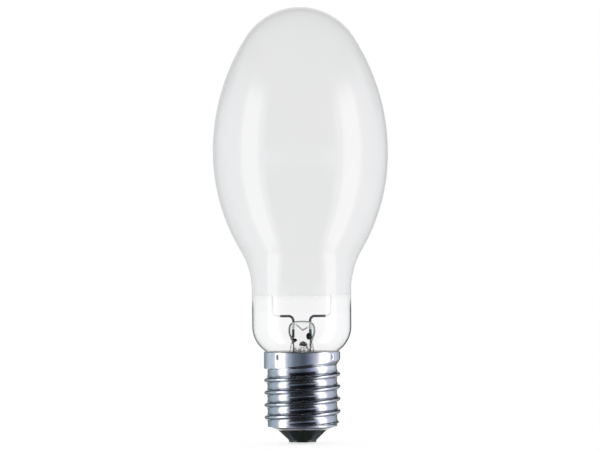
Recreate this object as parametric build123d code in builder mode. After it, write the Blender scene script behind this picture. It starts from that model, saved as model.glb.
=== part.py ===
from build123d import *
from math import acos, atan, atan2, cos, degrees, radians, sin, sqrt
import os

# High pressure sodium lamp with an elliptical, internally coated bulb and a large screw cap.
# Millimetres. The lamp stands on its centre contact: Z runs up the lamp from the contact's
# face, X runs through the two frame rods, and the vent in the stem faces -Y.

# Outer bulb, from the crown down to the seal inside the cap
overall_length = 224.0
bulb_diameter = 90.0
glass_wall = 1.0
equator_height = 149.5
side_radius = 110.0
lower_radius = 99.0
waist_end = 79.0
neck_diameter = 51.1
shoulder_start = 60.3
shoulder_radius = 16.0
collar_bottom = 42.6
collar_step = 1.4
seal_height = 23.0
neck_clearance = 0.35
inner_flats = 5

# Screw cap: a rolled sheet shell with a round-crested thread
cap_major_diameter = 39.2
skirt_margin = 0.05
cap_minor_diameter = 35.7
thread_pitch = 6.35
sheet = 0.4
cap_rim = 47.3
skirt_bottom = 41.6
skirt_step = 1.5
first_crest = 10.45
ridge_base = 3.4
ridge_land = 0.8
ridge_chamfer = 0.75
run_out_start = 8.9
wall_bottom = 11.6
corner_radius = 16.6
corner_height = 8.7
lip_radius = 12.4
lip_height = 7.3

# Stakes that lock the shell on the glass collar
stake_count = 4
stake_angle = -130.0
stake_width = 0.9
stake_length = 2.6
stake_depth = 0.45
stake_height = 44.9
stake_clearance = 0.3

# Insulator and centre contact
insulator_foot = 1.0
insulator_stub = 0.9
insulator_floor = 12.1
eyelet_radius = 1.7
eyelet_wall = 0.4
eyelet_height = 11.0
contact_radius = 7.1
contact_edge = 0.7
dimple_radius = 2.6
dimple_height = 0.5
solder_height = 0.4
solder_plug = 1.5
solder_knee = 0.75
solder_knee_depth = 0.7

# Glass stem: flared tube, flattened press, exhaust tube
stem_diameter = 13.0
stem_wall = 1.3
flare_start = 32.0
tube_end = 48.5
pinch_height = 52.4
pinch_width = 11.2
pinch_depth = 7.2
press_start = 56.0
press_top = 62.8
press_width = 13.8
press_depth = 4.8
press_corner = 2.2
press_chamfer = 0.96
corner_flat = 0.3
bead_radius = 1.7
exhaust_diameter = 5.0
exhaust_wall = 0.9
exhaust_tip = 17.0
exhaust_top = 53.2
vent_height = 51.2
vent_radius = 1.4

# Wires through the press, and the flexible leads below them
lead_spacing = 8.6
lead_rod_diameter = 1.3
rod_foot = 54.5
rod_level = 65.5
rod_bend = 2.4
bend_flats = 4
left_rod_reach = 11.0
right_rod_reach = 12.3
flexible_diameter = 0.8
flexible_bend = 2.5
contact_lead_turn = 17.5
shell_lead_turn = 19.2
shell_joint_height = 17.2
side_solder_radius = 1.3
side_solder_depth = 0.5

# Frame around the arc tube
frame_spacing = 30.3
frame_diameter = 1.1
frame_bend = 2.4
short_rod_top = 98.0
long_rod_level = 209.0
long_rod_bend = 3.0
long_rod_overhang = 3.5
weld_lap = 3.0
support_width = 3.0
support_sheet = 0.4
sliding_gap = 0.3
strap_width = 3.0
strap_sheet = 0.2
strap_rise = 0.8
strap_bend = 1.2
strap_landing = 2.4

# Arc tube
arc_centre = 149.5
arc_tube_length = 86.0
arc_tube_diameter = 9.0
arc_tube_wall = 0.8
plug_length = 4.0
plug_recess = 0.6
niobium_diameter = 4.0
niobium_wall = 0.4
niobium_inside = 1.6
niobium_outside = 12.5
support_from_tip = 3.5
electrode_diameter = 1.2
electrode_seat = 1.4
electrode_length = 9.5
coil_diameter = 3.4
coil_length = 4.5
coil_tip_gap = 1.2
amalgam_length = 2.5

# Getter and the spring that steadies the frame in the dome
getter_diameter = 8.0
getter_bore = 5.0
getter_thickness = 1.6
getter_height = 86.0
getter_offset = 3.0
getter_wire_diameter = 0.7
getter_wire_bend = 1.2
getter_wire_lap = 5.0
spring_width = 5.0
spring_sheet = 0.25
spring_flat = 4.0
spring_curve = 20.0
spring_slope = 35.0
spring_least_arm = 2.0
spring_gap = 0.3
knuckle_radius = 3.0
knuckle_turn = 110.0

# Worked out from the sizes above
bulb_radius = bulb_diameter / 2
neck_radius = neck_diameter / 2
crest_radius = cap_major_diameter / 2
skirt_radius = crest_radius + skirt_margin
root_radius = cap_minor_diameter / 2
thread_depth = crest_radius - root_radius
skirt_inside = skirt_radius - sheet
root_inside = root_radius - sheet
collar_radius = skirt_inside - stake_depth - stake_clearance
seal_radius = root_inside - neck_clearance
seal_inside = seal_radius - glass_wall
stem_radius = stem_diameter / 2
exhaust_radius = exhaust_diameter / 2
lead_x = lead_spacing / 2
lead_rod_radius = lead_rod_diameter / 2
frame_x = frame_spacing / 2
frame_radius = frame_diameter / 2
frame_y = lead_rod_radius + frame_radius
niobium_radius = niobium_diameter / 2
arc_bore_radius = arc_tube_diameter / 2 - arc_tube_wall
arc_half = arc_tube_length / 2
niobium_end = arc_half + niobium_outside
niobium_start = arc_half - plug_recess - plug_length - niobium_inside

os.makedirs("parts", exist_ok=True)


def finish(part, name):
    """Label a finished piece and write it to its own file."""
    part.label = name
    export_step(part, f"parts/{name}.step")


def in_flats(arc):
    """Points along an arc, so that a small bend is drawn in a few flats."""
    return [arc @ (step / bend_flats) for step in range(bend_flats + 1)]


def round_wire(points, bend, diameter, y=0.0):
    """A round wire along (x, z) points in a plane at y, with these bend radii at its corners."""
    route = FilletPolyline(*points, radius=bend)
    corners = [route @ 0]
    for arc in route.edges().filter_by(GeomType.CIRCLE).sort_by(route.wire()):
        corners += in_flats(arc)
    corners.append(route @ 1)
    with BuildPart() as wire:
        with BuildLine(Plane.XZ.offset(-y)) as path:
            Polyline(*[(corner.X, corner.Y) for corner in corners])
        with BuildSketch(Plane(origin=path.line @ 0, z_dir=path.line % 0)):
            Circle(diameter / 2)
        sweep(path=path.line, transition=Transition.RIGHT)
    return wire.part


def turned(points):
    """A solid turned about Z from a closed outline of (radius, height) points."""
    with BuildPart() as piece:
        with BuildSketch(Plane.XZ):
            with BuildLine():
                Polyline(*points, close=True)
            make_face()
        revolve(axis=Axis.Z)
    return piece.part


# Outer bulb: blown glass, a chain of tangent arcs from the crown to the neck. The inner face,
# hidden by the coating, follows the arcs in short flats one wall thickness in.
crown_rise = overall_length - equator_height
side_centre = side_radius - bulb_radius
crown_radius = (side_radius**2 - side_centre**2 - crown_rise**2) / (2 * (side_radius - crown_rise))
crown_centre = overall_length - crown_radius
crown_angle = degrees(atan2(side_centre, crown_rise - crown_radius))
waist_run = equator_height - waist_end
waist_angle = 2 * degrees(atan((bulb_radius - neck_radius) / waist_run))
waist_radius = waist_run / sin(radians(waist_angle)) - lower_radius
shoulder_angle = degrees(acos(1 - (neck_radius - collar_radius) / shoulder_radius))

with BuildPart() as outer_bulb:
    with BuildSketch(Plane.XZ):
        with BuildLine():
            crown = JernArc((0, overall_length), (1, 0), crown_radius, -crown_angle)
            side = JernArc(crown @ 1, crown % 1, side_radius, crown_angle - 90)
            lower = JernArc(side @ 1, side % 1, lower_radius, -waist_angle)
            waist = JernArc(lower @ 1, lower % 1, waist_radius, waist_angle)
            neck = Line(waist @ 1, (neck_radius, shoulder_start))
            shoulder = JernArc(neck @ 1, neck % 1, shoulder_radius, -shoulder_angle)
            Polyline(
                shoulder @ 1,
                (collar_radius, collar_bottom),
                (seal_radius, collar_bottom - collar_step),
                (seal_radius, seal_height),
                (seal_inside, seal_height),
                (seal_inside, collar_bottom - collar_step),
                (collar_radius - glass_wall, collar_bottom),
                (collar_radius - glass_wall, (shoulder @ 1).Y),
                *[
                    arc @ (1 - step / inner_flats)
                    + (arc % (1 - step / inner_flats)).rotate(Axis.Z, -90) * glass_wall
                    for arc in (shoulder, neck, waist, lower, side, crown)
                    for step in range(inner_flats)
                    if not (arc is shoulder and step == 0)
                ],
                (0, overall_length - glass_wall),
                (0, overall_length),
            )
        make_face()
    revolve(axis=Axis.Z)
finish(outer_bulb.part, "outer_bulb")

# Lead rods: stiff wires out of the press, bent outwards to carry the frame
lead_rods = {
    "left": round_wire(
        [(-lead_x, rod_foot), (-lead_x, rod_level), (-left_rod_reach, rod_level)],
        rod_bend,
        lead_rod_diameter,
    ),
    "right": round_wire(
        [(lead_x, rod_foot), (lead_x, rod_level), (right_rod_reach, rod_level)],
        rod_bend,
        lead_rod_diameter,
    ),
}
for place, rod in lead_rods.items():
    finish(rod, f"lead_rod_{place}")

# Flexible leads: from the foot of each rod down inside the flare. One goes through the
# insulator to the centre contact, the other to the inside of the shell.
contact_lead = round_wire(
    [
        (-lead_x, rod_foot),
        (-lead_x, contact_lead_turn),
        (0, contact_lead_turn - lead_x),
        (0, solder_plug),
    ],
    flexible_bend,
    flexible_diameter,
)
finish(contact_lead, "contact_lead")

shell_joint_x = root_inside - flexible_diameter / 2
shell_lead = round_wire(
    [(lead_x, rod_foot), (lead_x, shell_lead_turn), (shell_joint_x, shell_joint_height)],
    flexible_bend,
    flexible_diameter,
)
finish(shell_lead, "shell_lead")

# Exhaust tube: open to the vent at its top, and melted shut at its lower end
exhaust_bore = exhaust_radius - exhaust_wall
exhaust_end = JernArc((0, exhaust_tip), (1, 0), exhaust_radius, 90)
exhaust_end_inside = JernArc((0, exhaust_tip + exhaust_wall), (1, 0), exhaust_bore, 90)
with BuildPart() as exhaust_tube:
    with BuildSketch(Plane.XZ):
        with BuildLine():
            Polyline(
                *in_flats(exhaust_end),
                (exhaust_radius, exhaust_top),
                (exhaust_bore, exhaust_top),
                *reversed(in_flats(exhaust_end_inside)),
                close=True,
            )
        make_face()
    revolve(axis=Axis.Z)
    with BuildSketch(Plane.XZ):
        with Locations((0, vent_height)):
            Circle(vent_radius)
    extrude(amount=stem_diameter, mode=Mode.SUBTRACT)
finish(exhaust_tube.part, "exhaust_tube")

# Stem: the flared tube is fused to the seal, pinched round the exhaust tube and pressed flat
# on the lead wires, with a bead of glass where each rod leaves
flare = JernArc((stem_radius, flare_start), (0, -1), flare_start - seal_height, 90)
with BuildPart() as stem_flare:
    with BuildSketch(Plane.XZ):
        with BuildLine():
            Polyline((stem_radius, tube_end), *in_flats(flare), (seal_radius, seal_height))
            offset(amount=stem_wall, side=Side.RIGHT, kind=Kind.INTERSECTION)
        make_face()
    revolve(axis=Axis.Z)
    with BuildSketch(Plane.XY.offset(tube_end)):
        RectangleRounded(stem_diameter, stem_diameter, stem_radius - corner_flat)
    with BuildSketch(Plane.XY.offset(pinch_height)):
        RectangleRounded(pinch_width, pinch_depth, pinch_depth / 2 - corner_flat)
    with BuildSketch(Plane.XY.offset(press_start)):
        RectangleRounded(press_width, press_depth, press_corner)
    loft(ruled=True)
    with BuildSketch(Plane.XY.offset(press_start)):
        RectangleRounded(press_width, press_depth, press_corner)
    extrude(amount=press_top - press_start)
    press_top_edges = edges().group_by(Axis.Z)[-1]
    chamfer(press_top_edges, length=press_chamfer)
    with Locations((-lead_x, 0, press_top), (lead_x, 0, press_top)):
        Sphere(bead_radius)
    with BuildSketch(Plane.XZ):
        with Locations((0, vent_height)):
            Circle(vent_radius)
    extrude(amount=stem_diameter, mode=Mode.SUBTRACT)
    with BuildSketch(Plane.XY.offset(tube_end)):
        Circle(exhaust_radius)
    extrude(amount=exhaust_top - tube_end, mode=Mode.SUBTRACT)
    add([*lead_rods.values(), contact_lead, shell_lead], mode=Mode.SUBTRACT)
finish(stem_flare.part, "stem_flare")

# Screw shell: one thin sheet rolled to the skirt, the thread and the rolled-in lip
wall_line = [
    (skirt_radius, cap_rim),
    (skirt_radius, skirt_bottom),
    (root_radius, skirt_bottom - skirt_step),
    (root_radius, wall_bottom),
    (corner_radius, corner_height),
    (lip_radius, lip_height),
]
with BuildSketch(Plane.XZ) as shell_section:
    with BuildLine():
        Polyline(*wall_line)
        offset(amount=sheet, side=Side.RIGHT, kind=Kind.INTERSECTION)
    make_face()

half_sheet = sheet / 2
ridge_start = first_crest - thread_pitch
ridge_height = skirt_bottom + ridge_base / 2 - ridge_start
ridge_depth = root_radius - corner_radius + sheet
flank_slope = (ridge_base / 2 - ridge_land / 2 - ridge_chamfer) / (thread_depth - ridge_chamfer)
trim_radius = crest_radius + sheet
trim_top = skirt_bottom + half_sheet
ridge_half = [
    (-ridge_depth, ridge_base / 2 + ridge_depth * flank_slope),
    (thread_depth - ridge_chamfer, ridge_land / 2 + ridge_chamfer),
    (thread_depth, ridge_land / 2),
]
ridge_outline = [(x, -z) for x, z in ridge_half] + ridge_half[::-1]

with BuildPart() as cap_shell:
    with BuildLine(Plane.XY.offset(ridge_start)) as helix:
        Helix(pitch=thread_pitch, height=ridge_height, radius=root_radius)
    with BuildSketch(Plane(origin=helix.line @ 0, x_dir=(1, 0, 0), z_dir=(0, 1, 0))):
        with BuildLine():
            Polyline(*ridge_outline, close=True)
        make_face()
    sweep(path=helix.line, is_frenet=True)
    # The ridge runs out on a cone at the bottom and into the skirt at the top
    with BuildSketch(Plane.XZ):
        with BuildLine():
            Polyline(
                (0, run_out_start),
                (corner_radius, run_out_start),
                (trim_radius, run_out_start + trim_radius - corner_radius),
                (trim_radius, trim_top),
                (0, trim_top),
                close=True,
            )
        make_face()
    revolve(axis=Axis.Z, mode=Mode.INTERSECT)
    # and nothing of it is left inside the middle of the sheet
    with BuildSketch(Plane.XZ):
        with BuildLine():
            Polyline(
                (0, run_out_start - sheet),
                (corner_radius - half_sheet, run_out_start - sheet),
                (corner_radius - half_sheet, run_out_start),
                (root_radius - half_sheet, wall_bottom),
                (root_radius - half_sheet, skirt_bottom - skirt_step),
                (skirt_radius - half_sheet, skirt_bottom),
                (skirt_radius - half_sheet, cap_rim),
                (0, cap_rim),
                close=True,
            )
        make_face()
    revolve(axis=Axis.Z, mode=Mode.SUBTRACT)
    add(shell_section.sketch)
    revolve(axis=Axis.Z)
    with BuildSketch(Plane.XY.offset(stake_height - stake_length / 2 - sheet)):
        with PolarLocations(skirt_inside - stake_depth / 2, stake_count, start_angle=stake_angle):
            Rectangle(stake_depth + sheet, stake_width + 2 * sheet)
    extrude(amount=stake_length + 2 * sheet)
    with BuildSketch(Plane.XY.offset(stake_height - stake_length / 2)):
        with PolarLocations(skirt_radius, stake_count, start_angle=stake_angle):
            Rectangle(2 * stake_depth, stake_width)
    extrude(amount=stake_length, mode=Mode.SUBTRACT)
finish(cap_shell.part, "cap_shell")

# Insulator: dark glass moulded into the bottom of the shell, with a cone down to the contact
stub_top = insulator_foot + insulator_stub
with BuildPart() as cap_insulator:
    with BuildSketch(Plane.XZ):
        with BuildLine():
            Polyline(
                (eyelet_radius, insulator_foot),
                (contact_radius, insulator_foot),
                (contact_radius, stub_top),
                (lip_radius, lip_height),
                (corner_radius - half_sheet, corner_height),
                (root_radius - half_sheet, wall_bottom),
                (root_radius - half_sheet, insulator_floor),
                (eyelet_radius, insulator_floor),
                close=True,
            )
        make_face()
        add(shell_section.sketch, mode=Mode.SUBTRACT)
    revolve(axis=Axis.Z)
finish(cap_insulator.part, "cap_insulator")

# Centre contact: a turned-up disc on a hollow eyelet, with a dimple for the solder
bore = eyelet_radius - eyelet_wall
centre_contact = turned(
    [
        (bore, dimple_height),
        (dimple_radius, dimple_height),
        (dimple_radius + dimple_height, 0),
        (contact_radius - contact_edge, 0),
        (contact_radius, contact_edge),
        (contact_radius, insulator_foot),
        (eyelet_radius, insulator_foot),
        (eyelet_radius, eyelet_height),
        (bore, eyelet_height),
    ]
)
finish(centre_contact, "centre_contact")

# Solder: one dome in the dimple round the end of the lead, one bead on the wall of the shell
centre_solder = turned(
    [
        (0, solder_plug),
        (bore, solder_plug),
        (bore, dimple_height),
        (dimple_radius, dimple_height),
        (dimple_radius * solder_knee, dimple_height - solder_height * solder_knee_depth),
        (0, dimple_height - solder_height),
    ]
)
finish(centre_solder, "centre_solder")

with BuildPart() as side_solder:
    with Locations((root_inside - side_solder_depth, 0, shell_joint_height)):
        Sphere(side_solder_radius)
    with BuildSketch(Plane.XY.offset(shell_joint_height - side_solder_radius)):
        Circle(root_inside)
    extrude(amount=2 * side_solder_radius, mode=Mode.INTERSECT)
    add(shell_lead, mode=Mode.SUBTRACT)
finish(side_solder.part, "side_solder")

# Frame rods: lapped behind the ends of the lead rods and welded there. The short one carries
# the foot of the arc tube, the long one its top and the spring.
finish(
    round_wire(
        [
            (weld_lap - left_rod_reach, rod_level),
            (-frame_x, rod_level),
            (-frame_x, short_rod_top),
        ],
        frame_bend,
        frame_diameter,
        frame_y,
    ),
    "frame_rod_short",
)

finish(
    round_wire(
        [
            (right_rod_reach - weld_lap, rod_level),
            (frame_x, rod_level),
            (frame_x, long_rod_level),
            (-long_rod_overhang, long_rod_level),
        ],
        [frame_bend, long_rod_bend],
        frame_diameter,
        frame_y,
    ),
    "frame_rod_long",
)

# Arc tube: a translucent alumina tube with a plug, a niobium tube, a sealing ring and an
# electrode at each end, made once for the top and mirrored for the bottom
arc_plane = Plane.XY.offset(arc_centre)
with BuildPart() as arc_tube:
    with BuildSketch(arc_plane.offset(-arc_half)):
        Circle(arc_tube_diameter / 2)
        Circle(arc_bore_radius, mode=Mode.SUBTRACT)
    extrude(amount=arc_tube_length)
finish(arc_tube.part, "arc_tube")

plug_face = arc_half - plug_recess
electrode_foot = niobium_start + electrode_seat
electrode_tip = niobium_start - electrode_length
coil_end = electrode_tip + coil_tip_gap
arc_end_pieces = {
    "end_plug": [
        (niobium_radius, plug_face - plug_length),
        (arc_bore_radius, plug_face - plug_length),
        (arc_bore_radius, plug_face),
        (niobium_radius, plug_face),
    ],
    "sealing_ring": [
        (niobium_radius, plug_face),
        (arc_bore_radius, plug_face),
        (arc_bore_radius, arc_half),
        (niobium_radius, arc_half),
    ],
    "niobium_tube": [
        (electrode_diameter / 2, niobium_start),
        (niobium_radius, niobium_start),
        (niobium_radius, niobium_end),
        (0, niobium_end),
        (0, niobium_end - niobium_wall),
        (niobium_radius - niobium_wall, niobium_end - niobium_wall),
        (niobium_radius - niobium_wall, niobium_start + niobium_wall),
        (electrode_diameter / 2, niobium_start + niobium_wall),
    ],
    "electrode": [
        (0, electrode_tip),
        (electrode_diameter / 2, electrode_tip),
        (electrode_diameter / 2, coil_end),
        (coil_diameter / 2, coil_end),
        (coil_diameter / 2, coil_end + coil_length),
        (electrode_diameter / 2, coil_end + coil_length),
        (electrode_diameter / 2, electrode_foot),
        (0, electrode_foot),
    ],
}
for name, outline in arc_end_pieces.items():
    finish(turned([(r, arc_centre + z) for r, z in outline]), f"{name}_upper")
    finish(turned([(r, arc_centre - z) for r, z in outline]), f"{name}_lower")

# Amalgam: the dose of sodium and mercury, held in the cool end of the lower niobium tube
amalgam_bottom = arc_centre - niobium_end + niobium_wall
with BuildPart() as amalgam_dose:
    with BuildSketch(Plane.XY.offset(amalgam_bottom)):
        Circle(niobium_radius - niobium_wall)
    extrude(amount=amalgam_length)
finish(amalgam_dose.part, "amalgam_dose")


# Supports: a strip rolled into an eye round each niobium tube and welded to a frame rod. The
# lower eye grips its tube, and the upper one lets its tube slide as the arc tube grows hot.
def support_strip(height, eye_radius, side):
    """A strip at this height with an eye of this inner radius, welded to the rod on one side."""
    with BuildPart() as strip:
        with BuildSketch(Plane.XY.offset(height - support_width / 2)):
            Circle(eye_radius + support_sheet)
            with Locations((side * (frame_x + frame_radius) / 2, frame_y - frame_radius)):
                Rectangle(frame_x + frame_radius, support_sheet, align=(Align.CENTER, Align.MAX))
            Circle(eye_radius, mode=Mode.SUBTRACT)
        extrude(amount=support_width)
    return strip.part


lower_support_height = arc_centre - niobium_end + support_from_tip
upper_support_height = arc_centre + niobium_end - support_from_tip
finish(support_strip(lower_support_height, niobium_radius, -1), "support_strip_lower")
finish(support_strip(upper_support_height, niobium_radius + sliding_gap, 1), "support_strip_upper")

# Expansion strap: thin strip bowed from the upper niobium tube to the long rod, so that the
# current doesn't pass through the sliding eye
strap_foot = upper_support_height + support_width / 2 + sliding_gap
strap_top = arc_centre + niobium_end + strap_rise
with BuildPart() as expansion_strap:
    with BuildSketch(Plane.XZ.offset(-frame_y / 2)):
        with BuildLine():
            FilletPolyline(
                (niobium_radius, strap_foot),
                (niobium_radius, strap_top),
                (frame_x - frame_radius, strap_top),
                (frame_x - frame_radius, strap_top - strap_landing),
                radius=strap_bend,
            )
            offset(amount=strap_sheet, side=Side.RIGHT)
        make_face()
    extrude(amount=strap_width / 2, both=True)
finish(expansion_strap.part, "expansion_strap")

# Getter: a shallow ring of flashed metal, held clear of the long rod by a bent wire
getter_face = frame_x + frame_radius + getter_offset
getter_mid_radius = (getter_diameter + getter_bore) / 4
with BuildPart() as getter_ring:
    with BuildSketch(Plane(origin=(getter_face, frame_y, getter_height), z_dir=(1, 0, 0))):
        Circle(getter_diameter / 2)
        Circle(getter_bore / 2, mode=Mode.SUBTRACT)
    extrude(amount=getter_thickness)
finish(getter_ring.part, "getter_ring")

getter_wire_x = frame_x + frame_radius + getter_wire_diameter / 2
getter_wire_top = getter_height - getter_mid_radius
finish(
    round_wire(
        [
            (getter_wire_x, getter_wire_top - getter_wire_lap),
            (getter_wire_x, getter_wire_top),
            (getter_face, getter_wire_top),
        ],
        getter_wire_bend,
        getter_wire_diameter,
        frame_y,
    ),
    "getter_holder",
)

# Dome spring: a bowed leaf welded on top of the long rod, whose rolled ends steady the frame
# against the inside of the crown
spring_bottom = long_rod_level + frame_radius
dome_reach = crown_radius - glass_wall - spring_gap - knuckle_radius - spring_sheet
slope = radians(spring_slope)
edge_reach = sqrt(dome_reach**2 - (spring_width / 2) ** 2)


def run_to_dome(y, z, step_y, step_z):
    """How many steps the knuckle's centre takes from y and z above the crown's centre to the dome."""
    square = step_y**2 + step_z**2
    along = y * step_y + z * step_z
    return (sqrt(along**2 - square * (y**2 + z**2 - edge_reach**2)) - along) / square


# The bend is as wide as named, or as the dome leaves room for beside the shortest arm
knuckle_y = spring_flat + knuckle_radius * sin(slope)
knuckle_z = spring_bottom - knuckle_radius * cos(slope) - crown_centre
bend_room = run_to_dome(
    knuckle_y + spring_least_arm * cos(slope),
    knuckle_z + spring_least_arm * sin(slope),
    sin(slope),
    1 - cos(slope),
)
spring_bend = min(spring_curve, bend_room)
spring_arm = run_to_dome(
    knuckle_y + spring_bend * sin(slope),
    knuckle_z + spring_bend * (1 - cos(slope)),
    cos(slope),
    sin(slope),
)
with BuildPart() as dome_spring:
    with BuildSketch(Plane.YZ):
        with BuildLine():
            flat = Line((0, spring_bottom), (spring_flat, spring_bottom))
            rise = JernArc(flat @ 1, flat % 1, spring_bend, spring_slope)
            arm = PolarLine(rise @ 1, spring_arm, spring_slope)
            JernArc(arm @ 1, arm % 1, knuckle_radius, -knuckle_turn)
            offset(amount=spring_sheet, side=Side.LEFT)
        make_face()
    extrude(amount=spring_width / 2, both=True)
    mirror(about=Plane.XZ)
finish(dome_spring.part, "dome_spring")
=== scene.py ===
import math

import bmesh
import bpy
import numpy as np
from mathutils import Matrix


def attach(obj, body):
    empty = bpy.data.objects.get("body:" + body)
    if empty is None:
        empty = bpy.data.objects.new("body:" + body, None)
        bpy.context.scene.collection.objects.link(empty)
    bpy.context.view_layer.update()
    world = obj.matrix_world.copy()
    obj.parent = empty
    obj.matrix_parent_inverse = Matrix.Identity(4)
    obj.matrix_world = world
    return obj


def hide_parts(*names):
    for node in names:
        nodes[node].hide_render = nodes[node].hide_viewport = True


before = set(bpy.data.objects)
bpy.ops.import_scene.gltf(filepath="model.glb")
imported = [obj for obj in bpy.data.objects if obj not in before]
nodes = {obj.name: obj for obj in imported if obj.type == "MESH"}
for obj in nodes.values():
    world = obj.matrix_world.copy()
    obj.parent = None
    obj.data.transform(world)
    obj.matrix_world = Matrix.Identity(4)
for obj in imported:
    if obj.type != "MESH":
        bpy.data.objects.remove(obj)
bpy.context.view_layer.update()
MM = 0.001

# Outer bulb: clear glass blown in a mould to an ellipse with a straight neck, with an even
# wall. Its neck narrows to a collar inside the cap and is sealed to the stem at its foot.
LAMP_LENGTH = 224.0
BULB_RADIUS = 45.0
GLASS_WALL = 1.0
EQUATOR = 149.5
SIDE_RADIUS = 110.0
LOWER_RADIUS = 99.0
WAIST_END = 79.0
NECK_RADIUS = 25.55
SHOULDER_START = 60.3
SHOULDER_RADIUS = 16.0
COLLAR_RADIUS = 18.5
COLLAR_BOTTOM = 42.6
COLLAR_STEP = 1.4
SEAL_RADIUS = 17.1
SEAL_Z = 23.0
BULB_COLUMNS = 256
LONG_ARC_STEPS = 44
LOWER_ARC_STEPS = 36
SHORT_ARC_STEPS = 24
RUN_STEP = 1.0
GLASS_IOR = 1.6
GLASS_TINT = (0.986, 0.986, 0.986)
THICK_EDGE = (0.15, 0.4)
THICK_GAIN = 0.8
THICK_BELOW = (68.0, 76.0)
RIPPLE_SCALE = 0.05
RIPPLE_DEPTH = 0.02


def tangent_arcs(start, heading, runs):
    """Points along arcs that are tangent to each other. A run (radius, turn, steps) follows a
    circle while the heading turns by turn degrees, left if positive: the centre lies one radius
    to that side, and a point is the centre plus the radius times the turned normal."""
    points = [np.array([start], float)]
    here = np.array(start, float)
    angle = math.radians(heading)
    for radius, turn, steps in runs:
        side = math.copysign(1.0, turn)
        centre = here + radius * side * np.array([-math.sin(angle), math.cos(angle)])
        swept = angle + math.radians(turn) * np.arange(1, steps + 1) / steps
        arc = centre + radius * side * np.stack([np.sin(swept), -np.cos(swept)], 1)
        points.append(arc)
        here, angle = arc[-1], swept[-1]
    return np.concatenate(points)


def straight(start, end):
    """Points along a straight run, about one step apart, without its start."""
    start, end = np.array(start, float), np.array(end, float)
    count = max(1, round(float(np.linalg.norm(end - start)) / RUN_STEP))
    return start + (end - start) * (np.arange(1, count + 1) / count)[:, None]


def grid_faces(rows, columns, looped=False):
    """Quads between neighbouring points of a grid whose columns close into a ring. Its last row
    joins its first if looped."""
    joined = rows if looped else rows - 1
    row, column = np.meshgrid(np.arange(joined), np.arange(columns), indexing="ij")
    after = (row + 1) % rows * columns
    beside = (column + 1) % columns
    corners = [row * columns + column, row * columns + beside, after + beside, after + column]
    return np.stack(corners, -1).reshape(-1, 4)


def piece(name, points, faces, material, slot, sharp=40.0):
    """A mesh object from points in millimetres, with doubled points merged, faces pointing
    outwards and smooth shading that breaks at edges over sharp degrees. It rides on the lamp."""
    mesh = bpy.data.meshes.new(name)
    places = np.asarray(points).reshape(-1, 3) * MM
    mesh.from_pydata(places.tolist(), [], np.asarray(faces).tolist())
    work = bmesh.new()
    work.from_mesh(mesh)
    bmesh.ops.remove_doubles(work, verts=work.verts, dist=1e-7)
    bmesh.ops.recalc_face_normals(work, faces=work.faces)
    work.to_mesh(mesh)
    work.free()
    mesh.shade_smooth()
    mesh.set_sharp_from_angle(angle=math.radians(sharp))
    mesh.materials.append(material)
    obj = bpy.data.objects.new(name, mesh)
    bpy.context.scene.collection.objects.link(obj)
    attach(obj, "root")
    return obj


def round_rings(profile, angle):
    """Rings about Z: each profile point (r, z) goes to (r cos a, r sin a, z) at every angle a."""
    r, z = np.asarray(profile, float).T[:, :, None]
    x, y = r * np.cos(angle), r * np.sin(angle)
    return np.stack([x, y, np.broadcast_to(z, x.shape)], -1)


def turned(profile, columns, looped=False):
    """A surface of revolution from a profile of (r, z) points. Those at r = 0 meet in one pole."""
    angle = np.linspace(0, 2 * math.pi, columns, endpoint=False)
    return round_rings(profile, angle), grid_faces(len(profile), columns, looped)


def bulb_line(inset):
    """The bulb's outline from the pole down to the seal, this far inside its outer face. The
    bulging arcs lose the inset from their radius, and the hollow one gains it."""
    rise = LAMP_LENGTH - EQUATOR
    side_centre = SIDE_RADIUS - BULB_RADIUS
    crown = (SIDE_RADIUS**2 - side_centre**2 - rise**2) / (2 * (SIDE_RADIUS - rise))
    crown_turn = math.degrees(math.atan2(side_centre, rise - crown))
    drop = EQUATOR - WAIST_END
    waist_turn = 2 * math.degrees(math.atan((BULB_RADIUS - NECK_RADIUS) / drop))
    waist = drop / math.sin(math.radians(waist_turn)) - LOWER_RADIUS
    shoulder_turn = math.degrees(math.acos(1 - (NECK_RADIUS - COLLAR_RADIUS) / SHOULDER_RADIUS))
    upper = tangent_arcs(
        (0.0, LAMP_LENGTH - inset),
        0.0,
        [
            (crown - inset, -crown_turn, LONG_ARC_STEPS),
            (SIDE_RADIUS - inset, crown_turn - 90, LONG_ARC_STEPS),
            (LOWER_RADIUS - inset, -waist_turn, LOWER_ARC_STEPS),
            (waist + inset, waist_turn, SHORT_ARC_STEPS),
        ],
    )
    neck = straight(upper[-1], (NECK_RADIUS - inset, SHOULDER_START))
    shoulder_run = (SHOULDER_RADIUS - inset, -shoulder_turn, SHORT_ARC_STEPS)
    shoulder = tangent_arcs(neck[-1], -90.0, [shoulder_run])[1:]
    foot = [
        (COLLAR_RADIUS - inset, COLLAR_BOTTOM),
        (SEAL_RADIUS - inset, COLLAR_BOTTOM - COLLAR_STEP),
        (SEAL_RADIUS - inset, SEAL_Z),
    ]
    return np.concatenate([upper, neck, shoulder, foot])


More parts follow.
